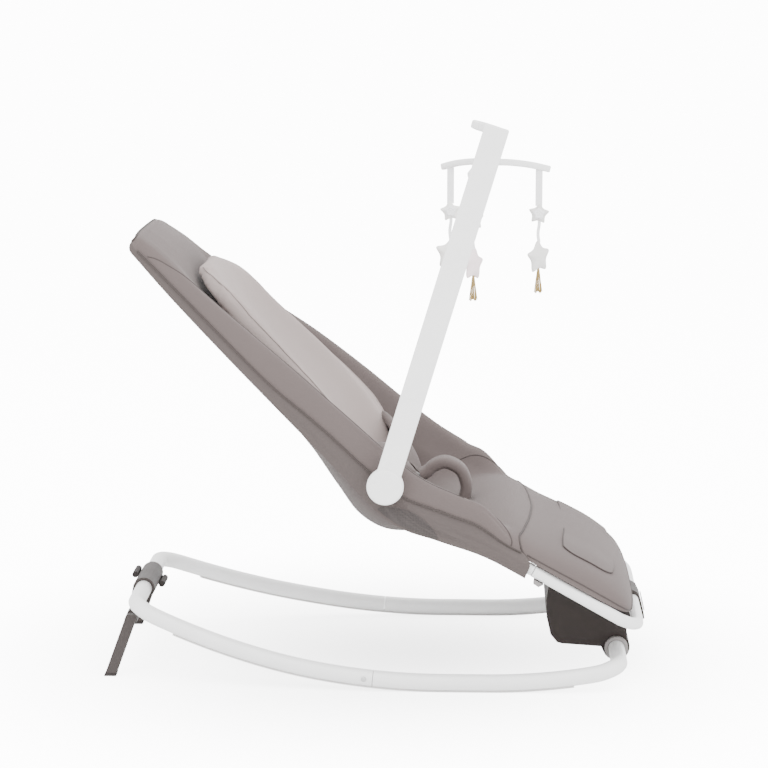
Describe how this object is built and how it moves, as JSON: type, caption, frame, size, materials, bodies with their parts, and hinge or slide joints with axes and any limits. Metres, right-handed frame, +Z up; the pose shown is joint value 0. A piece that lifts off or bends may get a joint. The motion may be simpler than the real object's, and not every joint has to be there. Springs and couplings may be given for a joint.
{
  "type": "bouncer seat",
  "caption": "Rocking infant bouncer seat with a tilting fabric seat, fold-out rear stand, newborn insert, harness and a toy bar with a turning star mobile.",
  "frame": {"origin": "bottom centre of the bounding box, on the floor", "axes": "+X towards the foot end, +Z up; the toy bar stands on the -Y side, the child's right"},
  "size_m": [0.7318, 0.4643, 0.748],
  "materials": {
    "white_paint": "satin powder coat",
    "white_plastic": "smooth, slightly glossy",
    "taupe_plastic": "fine moulded grain",
    "grey_plastic": "fine moulded grain",
    "steel": "plated",
    "rubber": "matt",
    "taupe_fabric": "fine woven upholstery, matt",
    "light_fabric": "fine jersey, matt",
    "toy_cream": "felt",
    "toy_pink": "felt",
    "tassel_straw": "fringe"
  },
  "bodies": {
    "base": {"rear_rocker_tube": "white_paint", "front_rocker_tube": "white_paint", "skid_strip_left": "rubber", "skid_strip_right": "rubber", "snap_button_left": "steel", "snap_button_right": "steel", "ratchet_ring": "steel"},
    "stand": {"stand_collar_upper": "taupe_plastic", "stand_collar_lower": "taupe_plastic", "stand_bridge": "taupe_plastic", "stand_knuckle_left": "rubber", "stand_knuckle_right": "rubber", "stand_leg_left": "taupe_plastic", "stand_leg_right": "taupe_plastic", "stand_foot_left": "rubber", "stand_foot_right": "rubber"},
    "seat": {"seat_side_tube_left": "white_paint", "seat_side_tube_right": "white_paint", "head_bow_tube": "white_paint", "foot_bow_tube": "white_paint", "cover_clip_left": "grey_plastic", "cover_clip_right": "grey_plastic", "toy_bar_socket": "grey_plastic", "tilt_housing": "taupe_plastic", "housing_bottom_cover": "taupe_plastic", "housing_screw_left": "steel", "housing_screw_right": "steel", "hinge_bush_left": "grey_plastic", "hinge_bush_right": "grey_plastic", "pawl_spring": "steel", "foot_bar_saddle": "taupe_plastic", "seat_cover": "taupe_fabric", "foot_cover": "taupe_fabric", "foot_patch": "taupe_fabric", "newborn_insert": "light_fabric", "crotch_strap": "taupe_fabric", "harness_buckle": "grey_plastic", "waist_belt_left": "taupe_fabric", "waist_belt_right": "taupe_fabric"},
    "release_lever": {"release_lever": "grey_plastic", "release_lever_pad": "white_plastic"},
    "pawl": {"ratchet_pawl": "steel"},
    "toy_bar": {"toy_arm": "white_plastic", "toy_arm_cap": "white_plastic", "toy_arm_pin": "steel", "toy_arm_top": "white_plastic", "mobile_stem": "white_plastic"},
    "mobile": {"mobile_spinner": "white_plastic"},
    "toy_a": {"toy_strap_a": "toy_cream", "toy_small_star_a": "toy_cream", "toy_large_star_a": "toy_cream", "toy_tassel_a": "tassel_straw"},
    "toy_b": {"toy_strap_b": "toy_cream", "toy_small_star_b": "toy_cream", "toy_large_star_b": "toy_cream", "toy_tassel_b": "tassel_straw"},
    "toy_c": {"toy_strap_c": "toy_cream", "toy_small_star_c": "toy_cream", "toy_large_star_c": "toy_pink", "toy_tassel_c": "tassel_straw"}
  },
  "joints": [
    {"name": "stand_fold", "type": "hinge", "parent": "base", "child": "stand", "pos_m": [-0.3233, 0.0119, 0.0972], "axis": [0, 1, 0], "range_deg": [-85, 0]},
    {"name": "seat_tilt", "type": "hinge", "parent": "base", "child": "seat", "pos_m": [0.3237, 0.0119, 0.03147], "axis": [0, 1, 0], "range_deg": [-22, 0]},
    {"name": "release_pull", "type": "hinge", "parent": "seat", "child": "release_lever", "pos_m": [0.3484, 0.0119, 0.0822], "axis": [0, 1, 0], "range_deg": [-18, 0], "stiffness_Nm_per_rad": 0.2, "springref_deg": 17.19},
    {"name": "pawl_lift", "type": "hinge", "parent": "seat", "child": "pawl", "pos_m": [0.2847, 0.0119, 0.062], "axis": [0, 1, 0], "range_deg": [-12, 0]},
    {"name": "toy_bar_swing", "type": "hinge", "parent": "seat", "child": "toy_bar", "pos_m": [0.0157, -0.2226, 0.279], "axis": [0, 1, 0], "range_deg": [-25, 30]},
    {"name": "mobile_spin", "type": "hinge", "parent": "toy_bar", "child": "mobile", "pos_m": [0.14624, 0.0119, 0.6806], "axis": [0, 0, 1], "continuous": true},
    {"name": "toy_swing_a", "type": "hinge", "parent": "mobile", "child": "toy_a", "pos_m": [0.21598, 0.03059, 0.6678], "axis": [-0.2588, 0.9659, 0], "range_deg": [-16, 16]},
    {"name": "toy_swing_b", "type": "hinge", "parent": "mobile", "child": "toy_b", "pos_m": [0.09519, 0.06295, 0.6678], "axis": [-0.7071, -0.7071, 0], "range_deg": [-16, 16]},
    {"name": "toy_swing_c", "type": "hinge", "parent": "mobile", "child": "toy_c", "pos_m": [0.12755, -0.05784, 0.6678], "axis": [0.9659, -0.2588, 0], "range_deg": [-16, 16]}
  ],
  "couplings": [
    {"joint": "pawl_lift", "follows": "release_pull", "ratio": 0.6}
  ]
}
